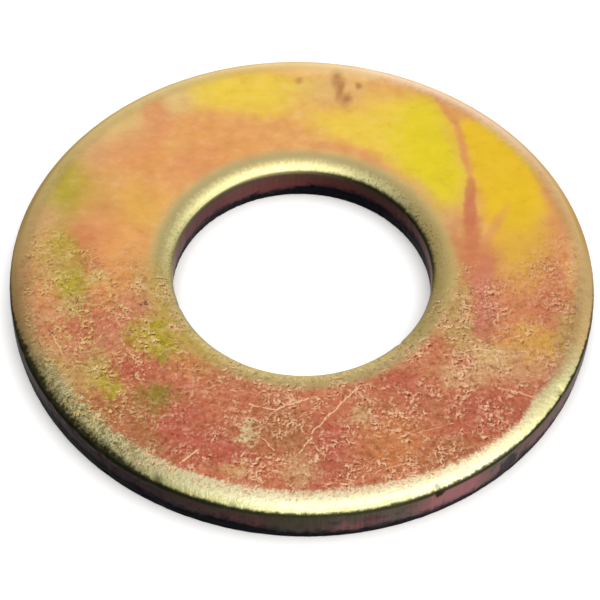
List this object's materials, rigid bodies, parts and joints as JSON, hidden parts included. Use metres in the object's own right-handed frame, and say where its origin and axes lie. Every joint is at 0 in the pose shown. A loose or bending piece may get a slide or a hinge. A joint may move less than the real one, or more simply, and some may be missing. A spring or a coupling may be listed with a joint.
{
  "type": "flat washer",
  "caption": "Stamped steel flat washer with rolled upper edges and square lower edges, yellow zinc plated.",
  "frame": {"origin": "centre of the bore on the lower flat face, the one with the nearly square edges", "axes": "+Z along the bore axis, towards the upper face with the rolled edges; X and Y in the lower face, free about the axis"},
  "size_m": [0.0254, 0.0254, 0.0019],
  "materials": {
    "plated_steel": "yellow chromate over zinc plate, satin, with iridescent gold, orange and salmon patches"
  },
  "bodies": {
    "root": {"washer": "plated_steel"}
  },
  "joints": []
}
